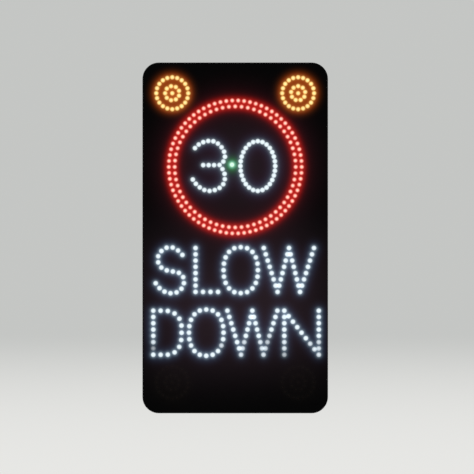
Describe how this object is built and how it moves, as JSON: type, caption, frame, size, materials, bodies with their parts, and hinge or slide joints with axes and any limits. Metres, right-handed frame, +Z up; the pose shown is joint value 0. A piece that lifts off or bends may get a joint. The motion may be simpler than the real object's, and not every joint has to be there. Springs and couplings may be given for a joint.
{
  "type": "vehicle activated speed sign",
  "caption": "Post-mounted solar speed sign: black door with LED speed roundel, legend and corner lanterns, hinged on a casing with batteries, radar and tilting panel.",
  "frame": {"origin": "on the post's axis, half way up the lower post clamp", "axes": "+X to the right of a driver reading the sign, +Y away from the driver towards the back, +Z up the post"},
  "size_m": [0.622, 0.522, 1.179],
  "materials": {
    "face_black": "matte",
    "frame_black": "satin",
    "casing_grey": "satin",
    "bare_aluminium": "satin",
    "galvanised_steel": "satin",
    "zinc_steel": "satin",
    "lock_chrome": "polished",
    "black_rubber": "matte",
    "battery_plastic": "matte",
    "strap_webbing": "matte",
    "instrument_plastic": "matte",
    "light_grey_plastic": "satin",
    "clear_lid": "satin",
    "black_plastic": "satin",
    "red_plastic": "gloss",
    "screen": "gloss",
    "circuit_board": "satin",
    "led_red": "gloss",
    "led_white": "gloss",
    "led_amber": "gloss",
    "led_amber_off": "gloss",
    "led_green": "gloss",
    "sensor_lens": "gloss",
    "solar_glass": "gloss",
    "anodised_frame": "satin"
  },
  "bodies": {
    "casing": {"casing_sides": "casing_grey", "casing_corners": "casing_grey", "casing_back": "casing_grey", "casing_seal": "black_rubber", "casing_hinge_leaves": "galvanised_steel", "hinge_pins": "zinc_steel", "lock_barrels": "lock_chrome", "rear_rails": "bare_aluminium", "mounting_bolts": "zinc_steel", "clamp_saddles": "galvanised_steel", "clamp_straps": "galvanised_steel", "clamp_bolts": "zinc_steel", "gear_plate": "bare_aluminium", "gear_plate_standoffs": "zinc_steel", "batteries": "battery_plastic", "battery_tray": "galvanised_steel", "battery_straps": "strap_webbing", "charge_controller": "instrument_plastic", "charger_screen": "screen", "controller_case": "light_grey_plastic", "controller_board": "circuit_board", "controller_lid": "clear_lid", "din_rail": "zinc_steel", "breaker_body": "light_grey_plastic", "isolator_base": "black_plastic", "terminal_blocks": "light_grey_plastic", "cable_glands": "black_plastic", "breather_vent": "black_plastic", "panel_arms": "galvanised_steel"},
    "door": {"door_frame": "frame_black", "fascia": "face_black", "door_stiffeners": "bare_aluminium", "door_bolts": "zinc_steel", "door_hinge_leaves": "galvanised_steel", "lock_keepers": "galvanised_steel", "led_boards_round": "circuit_board", "led_boards_words": "circuit_board", "leds_roundel": "led_red", "leds_digits": "led_white", "led_status": "led_green", "leds_slow": "led_white", "leds_down": "led_white", "leds_lanterns_top": "led_amber", "leds_lanterns_bottom": "led_amber_off", "light_sensor": "sensor_lens", "led_drivers": "bare_aluminium", "radar_bracket": "galvanised_steel"},
    "solar_panel": {"solar_frame": "anodised_frame", "solar_laminate": "solar_glass", "solar_junction_box": "black_plastic", "solar_hangers": "galvanised_steel", "panel_lock_bolts": "zinc_steel"},
    "radar": {"radar_module": "black_plastic"},
    "lock_upper": {"lock_cam_upper": "zinc_steel"},
    "lock_lower": {"lock_cam_lower": "zinc_steel"},
    "isolator_knob": {"isolator_knob": "red_plastic"},
    "breaker_toggle": {"breaker_toggle": "black_plastic"},
    "charger_button_menu": {"charger_button_menu": "black_plastic"},
    "charger_button_enter": {"charger_button_enter": "black_plastic"},
    "controller_test_button": {"controller_test_button": "red_plastic"}
  },
  "joints": [
    {"name": "door_swing", "type": "hinge", "parent": "casing", "child": "door", "pos_m": [-0.303, -0.205, 0.288], "axis": [0, 0, -1], "range_deg": [0, 110]},
    {"name": "solar_tilt", "type": "hinge", "parent": "casing", "child": "solar_panel", "pos_m": [0, 0.075, 0.65], "axis": [1, 0, 0], "range_deg": [-15, 15]},
    {"name": "radar_tilt", "type": "hinge", "parent": "door", "child": "radar", "pos_m": [0, -0.227, -0.194], "axis": [1, 0, 0], "range_deg": [-10, 10]},
    {"name": "lock_upper_turn", "type": "hinge", "parent": "casing", "child": "lock_upper", "pos_m": [0.28, -0.19, 0.618], "axis": [1, 0, 0], "range_deg": [0, 90]},
    {"name": "lock_lower_turn", "type": "hinge", "parent": "casing", "child": "lock_lower", "pos_m": [0.28, -0.19, -0.042], "axis": [1, 0, 0], "range_deg": [0, 90]},
    {"name": "isolator_turn", "type": "hinge", "parent": "casing", "child": "isolator_knob", "pos_m": [0.12, -0.152, 0.06], "axis": [0, -1, 0], "range_deg": [0, 90]},
    {"name": "breaker_flip", "type": "hinge", "parent": "casing", "child": "breaker_toggle", "pos_m": [-0.132, -0.1645, 0.06], "axis": [1, 0, 0], "range_deg": [0, 70]},
    {"name": "charger_menu_press", "type": "slide", "parent": "casing", "child": "charger_button_menu", "axis": [0, 1, 0], "range_m": [0, 0.0025], "stiffness_N_per_m": 300, "springref_m": -0.001},
    {"name": "charger_enter_press", "type": "slide", "parent": "casing", "child": "charger_button_enter", "axis": [0, 1, 0], "range_m": [0, 0.0025], "stiffness_N_per_m": 300, "springref_m": -0.001},
    {"name": "controller_test_press", "type": "slide", "parent": "casing", "child": "controller_test_button", "axis": [0, 1, 0], "range_m": [0, 0.0025], "stiffness_N_per_m": 300, "springref_m": -0.001}
  ]
}
